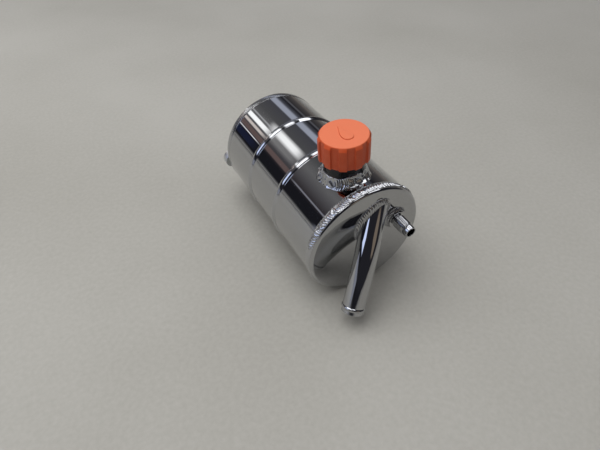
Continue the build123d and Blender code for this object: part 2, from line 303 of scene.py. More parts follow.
def new_group(name, kind, inputs, outputs):
    """A node group with its sockets, given as (name, type, default)."""
    tree = bpy.data.node_groups.new(name, kind)
    for socket, form, default in inputs:
        made = tree.interface.new_socket(name=socket, in_out="INPUT", socket_type=form)
        if default is not None:
            made.default_value = default
    for socket, form in outputs:
        tree.interface.new_socket(name=socket, in_out="OUTPUT", socket_type=form)
    return tree, tree.nodes.new("NodeGroupInput").outputs, tree.nodes.new("NodeGroupOutput").inputs


# Materials

def polish_marks_group():
    """Haze and slow waves left by the buffing wheel: a roughness and a height."""
    tree, given, out = new_group(
        "polish_marks", "ShaderNodeTree",
        [("Vector", "NodeSocketVector", None), ("Haze Scale", "NodeSocketFloat", 40.0),
         ("Least Roughness", "NodeSocketFloat", 0.03), ("Most Roughness", "NodeSocketFloat", 0.08),
         ("Wave Scale", "NodeSocketFloat", 14.0), ("Grain Share", "NodeSocketFloat", 0.0)],
        [("Roughness", "NodeSocketFloat"), ("Height", "NodeSocketFloat")])
    haze = noise(tree, given["Vector"], given["Haze Scale"], detail=4.0)
    roughness = remap(tree, haze, 0.35, 0.7, given["Least Roughness"], given["Most Roughness"])
    tree.links.new(roughness, out["Roughness"])
    wave = noise(tree, given["Vector"], given["Wave Scale"], detail=1.0)
    grain_scale = maths(tree, "MULTIPLY", given["Haze Scale"], GRAIN_FINENESS)
    grain = noise(tree, given["Vector"], grain_scale, detail=2.0)
    tree.links.new(maths(tree, "MULTIPLY_ADD", grain, given["Grain Share"], wave), out["Height"])
    return tree


def moulded_grain_group():
    """Fine grain of a moulded surface and the soft scuffs on it: a height and a mask."""
    tree, given, out = new_group(
        "moulded_grain", "ShaderNodeTree",
        [("Vector", "NodeSocketVector", None), ("Grain Scale", "NodeSocketFloat", 1500.0),
         ("Scuff Scale", "NodeSocketFloat", 60.0), ("Scuff Amount", "NodeSocketFloat", 0.5)],
        [("Height", "NodeSocketFloat"), ("Scuffs", "NodeSocketFloat")])
    tree.links.new(noise(tree, given["Vector"], given["Grain Scale"], detail=2.0), out["Height"])
    scuffs = noise(tree, given["Vector"], given["Scuff Scale"], detail=5.0)
    scuffs = remap(tree, scuffs, 0.45, 0.75, 0.0, 1.0)
    tree.links.new(maths(tree, "MULTIPLY", scuffs, given["Scuff Amount"]), out["Scuffs"])
    return tree


def new_material(name, colour, roughness, metallic):
    """A material with its shader, the object's coordinates and plain values set."""
    material = bpy.data.materials.new(name)
    material.use_nodes = True
    tree = material.node_tree
    shader = tree.nodes["Principled BSDF"]
    shader.inputs["Base Color"].default_value = (*colour, 1)
    shader.inputs["Roughness"].default_value = roughness
    shader.inputs["Metallic"].default_value = metallic
    return material, tree, shader, tree.nodes.new("ShaderNodeTexCoord").outputs["Object"]


def place_group(tree, group, vector, values):
    """Puts a shared group into a material with its own values."""
    node = tree.nodes.new("ShaderNodeGroup")
    node.node_tree = group
    tree.links.new(vector, node.inputs["Vector"])
    for name, value in values.items():
        node.inputs[name].default_value = value
    return node.outputs


def bump(tree, shader, height, strength, distance):
    """Feeds a height through a Bump node to the shader's normal."""
    node = tree.nodes.new("ShaderNodeBump")
    node.inputs["Strength"].default_value = strength
    node.inputs["Distance"].default_value = distance
    tree.links.new(height, node.inputs["Height"])
    tree.links.new(node.outputs["Normal"], shader.inputs["Normal"])


def aluminium(name, colour, least, most, wave_scale, grain, strength, distance, metallic=1.0):
    """Bare aluminium with buffing marks; less metallic where a skin of oxide scatters the light."""
    material, tree, shader, vector = new_material(name, colour, least, metallic)
    marks = place_group(tree, POLISH_MARKS, vector, {
        "Least Roughness": least, "Most Roughness": most, "Wave Scale": wave_scale, "Grain Share": grain})
    tree.links.new(marks["Roughness"], shader.inputs["Roughness"])
    bump(tree, shader, marks["Height"], strength, distance)
    return material


def moulded(name, colour, scuff_and_top_light_colour, roughness, grain_scale, scuffs, painted_top_light):
    """Moulded plastic or rubber with a fine grain, soft scuffs, and painted light: faces turned upwards are
    painted paler, as if lit from above.
    """
    material, tree, shader, vector = new_material(name, colour, roughness, 0.0)
    grain = place_group(tree, MOULDED_GRAIN, vector, {"Grain Scale": grain_scale, "Scuff Amount": scuffs})
    mix = tree.nodes.new("ShaderNodeMix")
    mix.data_type = "RGBA"
    mix.inputs["A"].default_value = (*colour, 1)
    mix.inputs["B"].default_value = (*scuff_and_top_light_colour, 1)
    split = tree.nodes.new("ShaderNodeSeparateXYZ")
    tree.links.new(tree.nodes.new("ShaderNodeTexCoord").outputs["Normal"], split.inputs[0])
    # Painted light: faces turned upwards are mixed towards the paler colour, as if lit from above.
    painted_top_light_mask = remap(tree, split.outputs["Z"], 0.5, 0.95, 0.0, painted_top_light)
    tree.links.new(maths(tree, "MAXIMUM", grain["Scuffs"], painted_top_light_mask), mix.inputs["Factor"])
    tree.links.new(mix.outputs["Result"], shader.inputs["Base Color"])
    bump(tree, shader, grain["Height"], strength=0.15, distance=0.1 * MM)
    return material


def floor_material():
    """Plain pale floor, worn smooth, with faint clouds and a fine mottle."""
    material, tree, shader, vector = new_material("pale_floor", FLOOR_PALE, FLOOR_ROUGHNESS, 0.0)
    mottle = maths(tree, "SUBTRACT", noise(tree, vector, FLOOR_MOTTLE_SCALE, detail=3.0), 0.5)
    clouds = noise(tree, vector, FLOOR_CLOUD_SCALE, detail=5.0)
    clouds = maths(tree, "MULTIPLY_ADD", mottle, FLOOR_MOTTLE, clouds)
    clouds = remap(tree, clouds, 0.35, 0.7, 0.0, 1.0)
    mix = tree.nodes.new("ShaderNodeMix")
    mix.data_type = "RGBA"
    mix.inputs["A"].default_value = (*FLOOR_PALE, 1)
    mix.inputs["B"].default_value = (*FLOOR_DARK, 1)
    tree.links.new(clouds, mix.inputs["Factor"])
    tree.links.new(mix.outputs["Result"], shader.inputs["Base Color"])
    return material


POLISH_MARKS = polish_marks_group()
MOULDED_GRAIN = moulded_grain_group()
MATERIALS = {
    "polished_aluminium": aluminium(
        "polished_aluminium", POLISHED, least=0.03, most=0.07, wave_scale=14.0, grain=0.0,
        strength=0.10, distance=0.6 * MM),
    "weld_aluminium": aluminium(
        "weld_aluminium", WELD, least=0.10, most=0.22, wave_scale=90.0, grain=0.3,
        strength=0.25, distance=0.4 * MM, metallic=0.94),
    "mill_aluminium": aluminium(
        "mill_aluminium", MILL, least=0.28, most=0.42, wave_scale=30.0, grain=0.5,
        strength=0.15, distance=0.3 * MM),
    # The orange cap's upward faces are painted paler, as painted light from above; the rubber gets none.
    "orange_plastic": moulded(
        "orange_plastic", ORANGE, ORANGE_SCUFF_AND_TOP_LIGHT, roughness=0.48, grain_scale=1500.0, scuffs=0.4, painted_top_light=1.0),
    # Painted shade: this nearly black finish goes on the filler neck, for the shade under the cap.
    "turned_aluminium": aluminium(
        "turned_aluminium", NECK_PAINTED_SHADE, least=0.14, most=0.26, wave_scale=30.0, grain=0.4,
        strength=0.15, distance=0.3 * MM),
    "black_rubber": moulded(
        "black_rubber", RUBBER, RUBBER_WORN, roughness=0.7, grain_scale=900.0, scuffs=0.3, painted_top_light=0.0),
}


# Mesh helpers

def new_object(name, verts, faces, slot):
    """A closed, smooth mesh object in the finish of a material slot."""
    mesh = bpy.data.meshes.new(name)
    mesh.from_pydata(verts, [], faces)
    body = bmesh.new()
    body.from_mesh(mesh)
    bmesh.ops.remove_doubles(body, verts=body.verts, dist=1e-7)
    bmesh.ops.recalc_face_normals(body, faces=body.faces)
    for face in body.faces:
        face.smooth = True
    body.to_mesh(mesh)
    body.free()
    mesh.materials.append(MATERIALS[slot])
    made = bpy.data.objects.new(name, mesh)
    bpy.context.scene.collection.objects.link(made)
    return made


def grid_faces(columns, rows, wrap_columns, wrap_rows):
    """Quads of a grid whose vertices run column by column."""
    faces = []
    for i in range(columns if wrap_columns else columns - 1):
        for j in range(rows if wrap_rows else rows - 1):
            here, there = i * rows, (i + 1) % columns * rows
            up = (j + 1) % rows
            faces.append((here + j, there + j, there + up, here + up))
    return faces


def rounded(points, radius, steps=4, most=0.45):
    """A (radius, height) outline with each inner corner replaced by an arc, up to a share of its sides."""
    outline = [points[0]]
    for before, corner, after in zip(points, points[1:], points[2:]):
        a, c, b = Vector(before), Vector(corner), Vector(after)
        cut = min(radius, (a - c).length * most, (b - c).length * most)
        start, stop = c + (a - c).normalized() * cut, c + (b - c).normalized() * cut
        for k in range(steps + 1):
            t = k / steps
            outline.append(tuple(start * (1 - t) ** 2 + c * 2 * t * (1 - t) + stop * t ** 2))
    outline.append(points[-1])
    return outline


def turned(name, outlines, place, slot):
    """Turns (radius, height) outlines, one for each equal step of angle, about the axis of a place."""
    columns, rows = len(outlines), len(outlines[0])
    verts = []
    for i, outline in enumerate(outlines):
        angle = 2 * math.pi * i / columns
        for radius, height in outline:
            verts.append(place @ Vector((radius * math.cos(angle), radius * math.sin(angle), height)))
    return new_object(name, verts, grid_faces(columns, rows, True, False), slot)


def crease(piece, angle):
    """Keeps edges sharper than an angle crisp in the shading."""
    piece.data.set_sharp_from_angle(angle=math.radians(angle))


def bake_modifiers(piece):
    """Turns a piece with its modifiers into a plain mesh."""
    graph = bpy.context.evaluated_depsgraph_get()
    mesh = bpy.data.meshes.new_from_object(piece.evaluated_get(graph))
    piece.modifiers.clear()
    piece.data = mesh


def join_frame(piece, body, slot, *replaced):
    """Lets a finished piece ride on a body, in place of the CAD nodes named."""
    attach(piece, body)
    if replaced:
        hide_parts(*replaced)


# Weld beads

def weld_ripple_tree():
    """Raises the overlapping ripples of a weld run along a bead's crown."""
    tree, given, out = new_group(
        "weld_ripple", "GeometryNodeTree",
        [("Geometry", "NodeSocketGeometry", None), ("Ripple Pitch", "NodeSocketFloat", 0.002),
         ("Ripple Height", "NodeSocketFloat", 0.0005), ("Bow", "NodeSocketFloat", 0.6),
         ("Unevenness", "NodeSocketFloat", 0.5), ("Seed", "NodeSocketFloat", 0.0),
         ("Material", "NodeSocketMaterial", None)],
        [("Geometry", "NodeSocketGeometry")])

    def attribute(name):
        node = tree.nodes.new("GeometryNodeInputNamedAttribute")
        node.data_type = "FLOAT"
        node.inputs["Name"].default_value = name
        return node.outputs["Attribute"]

    pitch = given["Ripple Pitch"]
    turns = maths(tree, "DIVIDE", attribute("along"), pitch)
    across_squared = maths(tree, "POWER", maths(tree, "ABSOLUTE", attribute("across")), 2.0)
    slow = maths(tree, "ADD", maths(tree, "MULTIPLY", turns, DRIFT_RATE), given["Seed"])
    drift = maths(tree, "SUBTRACT", noise(tree, slow, 1.0, detail=1.0, dimensions="1D"), 0.5)
    drift = maths(tree, "MULTIPLY", drift, maths(tree, "MULTIPLY", given["Unevenness"], DRIFT_AMOUNT))
    phase = maths(tree, "ADD", maths(tree, "MULTIPLY_ADD", across_squared, given["Bow"], turns), drift)
    ripple = maths(tree, "ABSOLUTE", maths(tree, "SINE", maths(tree, "MULTIPLY", phase, math.pi)))
    place = tree.nodes.new("GeometryNodeInputPosition").outputs[0]
    lumps = noise(tree, place, maths(tree, "DIVIDE", LUMPS_PER_RIPPLE, pitch), detail=1.0)
    lumps = maths(tree, "SUBTRACT", lumps, 0.5)
    lumps = maths(tree, "MULTIPLY", lumps, maths(tree, "MULTIPLY", given["Unevenness"], LUMP_AMOUNT))
    crown = maths(tree, "SUBTRACT", 1.0, across_squared)
    relief = maths(tree, "ADD", maths(tree, "SUBTRACT", ripple, RIPPLE_MIDDLE), lumps)
    height = maths(tree, "MULTIPLY", given["Ripple Height"], attribute("rippled"))
    lift = maths(tree, "MULTIPLY", maths(tree, "MULTIPLY", relief, crown), height)
    scaled = tree.nodes.new("ShaderNodeVectorMath")
    scaled.operation = "SCALE"
    tree.links.new(tree.nodes.new("GeometryNodeInputNormal").outputs[0], scaled.inputs["Vector"])
    tree.links.new(lift, scaled.inputs["Scale"])
    move = tree.nodes.new("GeometryNodeSetPosition")
    tree.links.new(given["Geometry"], move.inputs["Geometry"])
    tree.links.new(scaled.outputs["Vector"], move.inputs["Offset"])
    finish_tree(tree, move.outputs["Geometry"], given["Material"], out["Geometry"])
    return tree


def finish_tree(tree, geometry, material, out):
    """Ends a tree: realized, shaded smooth and with its material set."""
    realize = tree.nodes.new("GeometryNodeRealizeInstances")
    shade = tree.nodes.new("GeometryNodeSetShadeSmooth")
    shade.inputs["Shade Smooth"].default_value = True
    paint = tree.nodes.new("GeometryNodeSetMaterial")
    tree.links.new(geometry, realize.inputs["Geometry"])
    tree.links.new(realize.outputs["Geometry"], shade.inputs["Geometry"])
    tree.links.new(shade.outputs["Geometry"], paint.inputs["Geometry"])
    tree.links.new(material, paint.inputs["Material"])
    tree.links.new(paint.outputs["Geometry"], out)


def use_tree(piece, tree, values):
    """Adds a tree to a piece with its inputs set, and turns the result into a plain mesh."""
    modifier = piece.modifiers.new(tree.name, "NODES")
    modifier.node_group = tree
    for item in tree.interface.items_tree:
        if item.in_out == "INPUT" and item.name in values:
            modifier[item.identifier] = values[item.name]
    bake_modifiers(piece)


WELD_RIPPLE = weld_ripple_tree()
CROWN_STEPS = 12


def crown_curve(start, peak, stop):
    """Points from toe to toe of a bead, bulging through a peak."""
    control = peak * 2 - (start + stop) / 2
    curve = []
    for k in range(CROWN_STEPS + 1):
        t = k / CROWN_STEPS
        curve.append(start * (1 - t) ** 2 + control * 2 * t * (1 - t) + stop * t ** 2)
    return curve


def weld_bead(name, sections, closed, pitch, height, bow, unevenness, seed, dressed_below=BELOW_ALL):
    """A bead through sections of (toe, peak, toe, root), with its ripples, dressed smooth below a height."""
    columns, rows = len(sections), CROWN_STEPS + 2
    verts, along, across, rippled = [], [], [], []
    run = 0.0
    for i, (start, peak, stop, root) in enumerate(sections):
        if i:
            run += (peak - sections[i - 1][1]).length
        for k, point in enumerate(crown_curve(start, peak, stop)):
            verts.append(point)
            across.append(2 * k / CROWN_STEPS - 1)
        verts.append(root)
        across.append(1.0)
        along += [run] * rows
        rippled += [min(max((peak.z - dressed_below) / DRESSED_FADE, DRESSED_LEAST), 1.0)] * rows
    if closed:
        run += (sections[0][1] - sections[-1][1]).length
        pitch = run / round(run / pitch)
    faces = grid_faces(columns, rows, closed, True)
    if not closed:
        faces += [tuple(range(rows))[::-1], tuple(range((columns - 1) * rows, columns * rows))]
    bead = new_object(name, verts, faces, "weld_aluminium")
    for label, values in (("along", along), ("across", across), ("rippled", rippled)):
        bead.data.attributes.new(label, "FLOAT", "POINT").data.foreach_set("value", values)
    use_tree(bead, WELD_RIPPLE, {
        "Ripple Pitch": pitch, "Ripple Height": height, "Bow": bow, "Unevenness": unevenness,
        "Seed": seed, "Material": MATERIALS["weld_aluminium"]})
    join_frame(bead, "tank", "weld_aluminium", name)


def seam_sections(start, stop, crown, toe, drop, steps):
    """Sections of the ring of weld between an end cap and the shell, begun underneath."""
    sections = []
    for i in range(steps):
        angle = 2 * math.pi * i / steps - math.pi / 2
        out = Vector((math.cos(angle), 0, math.sin(angle)))

        def point(y, radius):
            return Vector((0, y, CAN_Z)) + out * radius

        middle = (start + stop) / 2
        sections.append((
            point(start - toe, CAN_R - drop), point(middle, CAN_R + crown),
            point(stop + toe, CAN_R - drop), point(middle, CAN_R - SHELL_WALL)))
    return sections


def neck_weld_sections(steps):
    """Sections of the fillet round the neck's foot on the curved shell."""
    sections = []
    for i in range(steps):
        angle = 2 * math.pi * i / steps + math.pi / 2
        side = Vector((math.cos(angle), math.sin(angle), 0))

        def foot(radius):
            place = side * radius
            return place + Vector((0, 0, math.sqrt(CAN_R ** 2 - place.x ** 2)))

        uneven = sum(share * math.sin(waves * angle + first) for share, waves, first in NECK_WELD_WAVES)
        upper = foot(NECK_R) + Vector((0, 0, NECK_WELD_UP * (1 - NECK_WELD_UP_SHARE * uneven)))
        lower = foot(NECK_R + NECK_WELD_OUT * (1 + uneven))
        root = foot(NECK_R) - side * WELD_SINK
        peak = (upper + lower) * (1 - NECK_WELD_HOLLOW) / 2 + foot(NECK_R) * NECK_WELD_HOLLOW
        sections.append([FILLER @ point for point in (upper, peak, lower, root)])
    return sections


def slant(lean, rise):
    """A direction that leans to the left of straight down and rises from the front face."""
    lean, rise = math.radians(lean), math.radians(rise)
    return Vector((-math.sin(lean) * math.cos(rise), -math.sin(rise), -math.cos(lean) * math.cos(rise)))


def tube_weld_sections(steps):
    """Sections of the weld round the slanted joint of the tube and the front face."""
    lean, rise = math.radians(TUBE_LEAN), math.radians(TUBE_RISE)
    down = Vector((-math.sin(lean), 0, -math.cos(lean)))
    side = Vector((-math.cos(lean), 0, math.sin(lean)))
    out = Vector((0, -1, 0))
    along_tube = slant(TUBE_LEAN, TUBE_RISE)
    long_r = TUBE_R / math.sin(rise)
    sections = []
    for i in range(steps):
        angle = 2 * math.pi * i / steps
        joint = TUBE_BASE + down * long_r * math.cos(angle) + side * TUBE_R * math.sin(angle)
        away = (down * TUBE_R * math.cos(angle) + side * long_r * math.sin(angle)).normalized()
        leg = TUBE_WELD_LEG + TUBE_WELD_SWELL * max(0.0, math.sin(angle))
        on_face = joint + away * leg
        on_tube = joint + along_tube * leg
        bulge = (away + out).normalized() * leg * TUBE_WELD_BULGE
        root = joint - away * WELD_SINK
        sections.append((on_tube, (on_face + on_tube) / 2 + bulge, on_face, root))
    return sections


def fitting_weld_sections(steps):
    """Sections of the fillet round the fitting's collar."""
    centre = Vector((FITTING_X, FRONT_Y, FITTING_Z))
    sections = []
    for i in range(steps):
        angle = 2 * math.pi * i / steps
        side = Vector((math.cos(angle), 0, math.sin(angle)))
        foot = centre + side * COLLAR_R
        upper = foot + Vector((0, -FITTING_WELD_LEG, 0))
        lower = foot + side * FITTING_WELD_LEG
        sections.append((upper, (upper + lower) / 2, lower, foot - side * WELD_SINK))
    return sections


def bar_weld_sections(low, high, edge_z, toe_z, steps):
    """Sections of a straight fillet along an edge of the mounting bar."""
    sections = []
    for i in range(steps):
        x = low.x + (high.x - low.x) * i / (steps - 1)
        upper, lower = Vector((x, high.y, edge_z)), Vector((x, low.y, toe_z))
        root = Vector((x, low.y, edge_z))
        peak = (upper + lower) * (1 + BAR_WELD_BULGE) / 2 - root * BAR_WELD_BULGE
        sections.append((upper, peak, lower, root))
    return sections


def weld_beads():
    """All the weld runs, each with its own ripples."""
    front_seam = seam_sections(
        seam_low.y, seam_high.y, seam_high.x - CAN_R, FRONT_SEAM_TOE, FRONT_SEAM_TOE_DROP, steps=2200)
    weld_bead(
        "front_seam_weld", front_seam, closed=True, pitch=3.0 * MM, height=0.85 * MM, bow=0.9,
        unevenness=0.60, seed=3.0, dressed_below=FRONT_SEAM_DRESSED_BELOW)
    rear_seam = seam_sections(
        rear_seam_low.y, rear_seam_high.y, rear_seam_high.x - CAN_R, SEAM_TOE, drop=0.0, steps=2200)
    weld_bead(
        "rear_seam_weld", rear_seam, closed=True, pitch=2.4 * MM, height=0.08 * MM, bow=0.7,
        unevenness=0.3, seed=7.0)
    weld_bead(
        "neck_weld", neck_weld_sections(steps=800), closed=True, pitch=4.4 * MM, height=0.75 * MM, bow=0.9,
        unevenness=1.4, seed=11.0)
    weld_bead(
        "tube_weld", tube_weld_sections(steps=600), closed=True, pitch=2.6 * MM, height=0.8 * MM, bow=0.7,
        unevenness=0.5, seed=17.0)
    weld_bead(
        "fitting_weld", fitting_weld_sections(steps=420), closed=True, pitch=2.0 * MM, height=0.4 * MM,
        bow=0.7, unevenness=0.4, seed=23.0)
    upper_edge = bar_weld_sections(
        upper_weld_low, upper_weld_high, upper_weld_low.z, upper_weld_high.z, steps=420)
    weld_bead(
        "bar_upper_weld", upper_edge, closed=False, pitch=2.2 * MM, height=0.4 * MM, bow=0.7,
        unevenness=0.4, seed=29.0)
    lower_edge = bar_weld_sections(
        lower_weld_low, lower_weld_high, lower_weld_high.z, lower_weld_low.z, steps=420)
    weld_bead(
        "bar_lower_weld", lower_edge, closed=False, pitch=2.2 * MM, height=0.4 * MM, bow=0.7,
        unevenness=0.4, seed=31.0)


weld_beads()


# Threads

def screw_thread_tree():
    """A right-handed ridge that winds round a core and runs out at both ends."""
    tree, given, out = new_group(
        "screw_thread", "GeometryNodeTree",
        [("Geometry", "NodeSocketGeometry", None), ("Turns", "NodeSocketFloat", 5.0),
         ("Pitch", "NodeSocketFloat", 0.0014), ("Ridge Radius", "NodeSocketFloat", 0.0064),
         ("Ridge Size", "NodeSocketFloat", 0.0007), ("Run Out", "NodeSocketFloat", 0.1),
         ("Material", "NodeSocketMaterial", None)],
        [("Geometry", "NodeSocketGeometry")])
    spiral = tree.nodes.new("GeometryNodeCurveSpiral")
    spiral.inputs["Resolution"].default_value = THREAD_STEPS
    spiral.inputs["Reverse"].default_value = False
    tree.links.new(given["Turns"], spiral.inputs["Rotations"])
    tree.links.new(given["Ridge Radius"], spiral.inputs["Start Radius"])
    tree.links.new(given["Ridge Radius"], spiral.inputs["End Radius"])
    tree.links.new(maths(tree, "MULTIPLY", given["Turns"], given["Pitch"]), spiral.inputs["Height"])
    upright = tree.nodes.new("GeometryNodeSetCurveNormal")
    upright.mode = "Z_UP"
    tree.links.new(spiral.outputs["Curve"], upright.inputs["Curve"])
    ridge = tree.nodes.new("GeometryNodeCurvePrimitiveCircle")
    ridge.inputs["Resolution"].default_value = RIDGE_SIDES
    tree.links.new(given["Ridge Size"], ridge.inputs["Radius"])
    share = tree.nodes.new("GeometryNodeSplineParameter").outputs["Factor"]
    to_end = maths(tree, "MINIMUM", share, maths(tree, "SUBTRACT", 1.0, share))
    taper = remap(tree, to_end, 0.0, given["Run Out"], 0.05, 1.0)
    wind = tree.nodes.new("GeometryNodeCurveToMesh")
    tree.links.new(upright.outputs["Curve"], wind.inputs["Curve"])
    tree.links.new(ridge.outputs["Curve"], wind.inputs["Profile Curve"])
    tree.links.new(taper, wind.inputs["Scale"])
    wind.inputs["Fill Caps"].default_value = True
    finish_tree(tree, wind.outputs["Mesh"], given["Material"], out["Geometry"])
    return tree


SCREW_THREAD = screw_thread_tree()


def screw_thread(name, place, turns, pitch, crest_r, size, run_out):
    """A thread's ridge at a place, its crests at a radius."""
    ridge = new_object(name, [], [], "polished_aluminium")
    use_tree(ridge, SCREW_THREAD, {
        "Turns": turns, "Pitch": pitch, "Ridge Radius": crest_r - size, "Ridge Size": size,
        "Run Out": run_out, "Material": MATERIALS["polished_aluminium"]})
    ridge.data.transform(place)
    join_frame(ridge, "tank", "polished_aluminium")


def vent_fitting():
    """Flared hose fitting: weld collar, thread relief, thread core and coned nose, with its thread."""
    place = Matrix.Translation((FITTING_X, FRONT_Y, FITTING_Z)) @ Matrix.Rotation(math.pi / 2, 4, "X")
    thread_start = FITTING_COLLAR_L + FITTING_NECKING_L
    thread_end = thread_start + FITTING_THREAD_L
    outline = [
        (FITTING_BORE_R, 0),
        (COLLAR_R, 0),
        (COLLAR_R, FITTING_COLLAR_L),
        (FITTING_NECKING_R, FITTING_COLLAR_L),
        (FITTING_NECKING_R, thread_start),
        (FITTING_CORE_R, thread_start),
        (FITTING_CORE_R, thread_end),
        (FITTING_GROOVE_R, thread_end),
        (FITTING_GROOVE_R, thread_end + FITTING_GROOVE_L),
        (FITTING_SHOULDER_R, thread_end + FITTING_GROOVE_L),
        (FITTING_SHOULDER_R, thread_end + FITTING_SHOULDER_L),
        (FITTING_NOSE_R, FITTING_L),
        (FITTING_BORE_R, FITTING_L),
        (FITTING_BORE_R, 0),
    ]
    outlines = [rounded(outline, FITTING_ROUND)] * FITTING_SIDES
    body = turned("vent_fitting_body", outlines, place, "polished_aluminium")
    crease(body, FITTING_CREASE)
    join_frame(body, "tank", "polished_aluminium", "vent_fitting")
    turns = FITTING_THREAD_L / FITTING_PITCH
    screw_thread(
        "vent_fitting_thread", place @ Matrix.Translation((0, 0, thread_start)), turns, FITTING_PITCH,
        FITTING_THREAD_R, FITTING_RIDGE, FITTING_RUN_OUT)


def neck_thread():
    """Coarse thread on the neck that the cap screws onto."""
    height = NECK_THREAD_TURNS * NECK_PITCH
    start = CAN_R + NECK_TOP_H - height - NECK_THREAD_BELOW_TOP
    screw_thread(
        "neck_thread", FILLER @ Matrix.Translation((0, 0, start)), NECK_THREAD_TURNS, NECK_PITCH,
        NECK_THREAD_R, NECK_RIDGE, NECK_RUN_OUT)


vent_fitting()
neck_thread()


# Hose tube

def tube_outline():
    """The tube's (share of its bend, distance past the bend, radius), from the bend out and back inside."""
    after = TUBE_PAST_KNEE - TUBE_BEND_AFTER
    lip = after - TUBE_LIP_FROM_END
    shares = [k / TUBE_BEND_STEPS for k in range(TUBE_BEND_STEPS + 1)]
    outline = [(share, 0.0, TUBE_R) for share in shares]
    for k in range(1, TUBE_TAIL_STEPS + 1):
        place = (after - TUBE_EDGE) * k / TUBE_TAIL_STEPS
        from_lip = min(abs(place - lip), TUBE_LIP_R)
        proud = math.sqrt(TUBE_LIP_R ** 2 - from_lip ** 2) - TUBE_LIP_R + TUBE_LIP_H
        outline.append((1.0, place, TUBE_R + max(proud, 0.0)))
    outline.append((1.0, after, TUBE_R - TUBE_EDGE))
    outline.append((1.0, after, TUBE_R - TUBE_WALL))
    outline += [(share, 0.0, TUBE_R - TUBE_WALL) for share in reversed(shares)]
    return outline


def outlet_tube():
    """The hose tube from its slanted cut at the front face through an easy bend to the rolled lip."""
    start, end = slant(TUBE_LEAN, TUBE_RISE), slant(TUBE_END_LEAN, TUBE_END_RISE)
    knee = TUBE_BASE + start * TUBE_TO_KNEE
    upright = start.cross(end).normalized()
    outline = tube_outline()
    verts = []
    for i in range(TUBE_SIDES):
        angle = 2 * math.pi * i / TUBE_SIDES

        def around(along):
            return upright * math.cos(angle) + upright.cross(along) * math.sin(angle)

        def at_face(radius):
            away = around(start) * radius
            return TUBE_BASE + away - start * (away.y / start.y)

        verts.append(at_face(TUBE_R))
        for t, past, radius in outline:
            place = knee - start * TUBE_BEND_BEFORE * (1 - t) ** 2 + end * (TUBE_BEND_AFTER * t ** 2 + past)
            along = (start * TUBE_BEND_BEFORE * (1 - t) + end * TUBE_BEND_AFTER * t).normalized()
            verts.append(place + around(along) * radius)
        verts.append(at_face(TUBE_R - TUBE_WALL))
    faces = grid_faces(TUBE_SIDES, len(outline) + 2, True, True)
    tube = new_object("outlet_tube_skin", verts, faces, "polished_aluminium")
    crease(tube, TUBE_CREASE)
    join_frame(tube, "tank", "polished_aluminium", "outlet_tube")


outlet_tube()


# Cap and bar

def rib_share(angle):
    """How much of a rib stands at an angle in degrees: 1 on a rib, 0 between ribs."""
    pitch = 360 / CAP_RIBS
    from_rib = abs((angle - CAP_RIB_START + pitch / 2) % pitch - pitch / 2)
    t = (CAP_RIB_ANGLE / 2 + CAP_RIB_FLANK / 2 - from_rib) / CAP_RIB_FLANK
    t = min(max(t, 0.0), 1.0)
    return t * t * (3 - 2 * t)


def filler_cap():
    """Moulded screw cap with ribs, sloped rib tops and softened edges."""
    under, edge_z = CAP_H - CAP_TOP_T, CAP_H - CAP_EDGE
    outlines = []
    for i in range(CAP_SIDES):
        skirt_r = CAP_CORE_R + (CAP_R - CAP_CORE_R) * rib_share(360 * i / CAP_SIDES)
        outlines.append(rounded([
            (0, under), (CAP_BORE_R, under), (CAP_BORE_R, 0), (skirt_r, 0),
            (skirt_r, edge_z - CAP_RIB_SLOPE), (CAP_CORE_R, edge_z),
            (CAP_CORE_R - CAP_EDGE, CAP_H), (0, CAP_H),
        ], CAP_ROUND))
    place = FILLER @ Matrix.Translation((0, 0, CAN_R + CAP_RAISE))
    cap = turned("filler_cap_skin", outlines, place, "orange_plastic")
    join_frame(cap, "cap", "orange_plastic", "filler_cap")


def drop_mark():
    """Raised drop in the middle of the cap's top."""
    steps, rings = 72, 6
    top = CAN_R + CAP_RAISE + CAP_H - DROP_SINK
    verts, faces = [], []
    for k in range(rings + 1):
        t = k / rings
        shrink = 1 - DROP_EDGE / (DROP_LENGTH / 2) * (1 - math.cos(t * math.pi / 2))
        lift = DROP_H * math.sin(t * math.pi / 2)
        for i in range(steps):
            a = 2 * math.pi * i / steps
            x = DROP_LENGTH * DROP_WIDTH_SHARE * math.sin(a) * math.sin(a / 2) ** DROP_POINTEDNESS
            y = DROP_LENGTH / 2 * math.cos(a)
            verts.append(FILLER @ Vector((x * shrink, y * shrink, top + lift)))
    for k in range(rings):
        for i in range(steps):
            j = (i + 1) % steps
            faces.append((k * steps + i, k * steps + j, (k + 1) * steps + j, (k + 1) * steps + i))
    faces.append(tuple(range(rings * steps, (rings + 1) * steps)))
    faces.append(tuple(range(steps))[::-1])
    mark = new_object("cap_drop_mark", verts, faces, "orange_plastic")
    join_frame(mark, "cap", "orange_plastic")


def mounting_bar():
    """The bar with its sharp edges broken."""
    mesh = nodes["mounting_bar"].data.copy()
    body = bmesh.new()
    body.from_mesh(mesh)
    bmesh.ops.remove_doubles(body, verts=body.verts, dist=1e-6)
    flat = math.radians(BAR_FLAT_ANGLE)
    bmesh.ops.dissolve_limit(body, angle_limit=flat, verts=body.verts, edges=body.edges)
    body.to_mesh(mesh)
    body.free()
    bar = bpy.data.objects.new("mounting_bar_bevelled", mesh)
    bpy.context.scene.collection.objects.link(bar)
    bevel = bar.modifiers.new("broken_edges", "BEVEL")
    bevel.width = BAR_EDGE
    bevel.segments = BAR_EDGE_STEPS
    bevel.limit_method = "ANGLE"
    bevel.angle_limit = math.radians(BAR_EDGE_ANGLE)
    bevel.harden_normals = True
    bake_modifiers(bar)
    bar.data.materials.clear()
    bar.data.materials.append(MATERIALS["mill_aluminium"])
    join_frame(bar, "tank", "mill_aluminium", "mounting_bar")


filler_cap()
drop_mark()
mounting_bar()

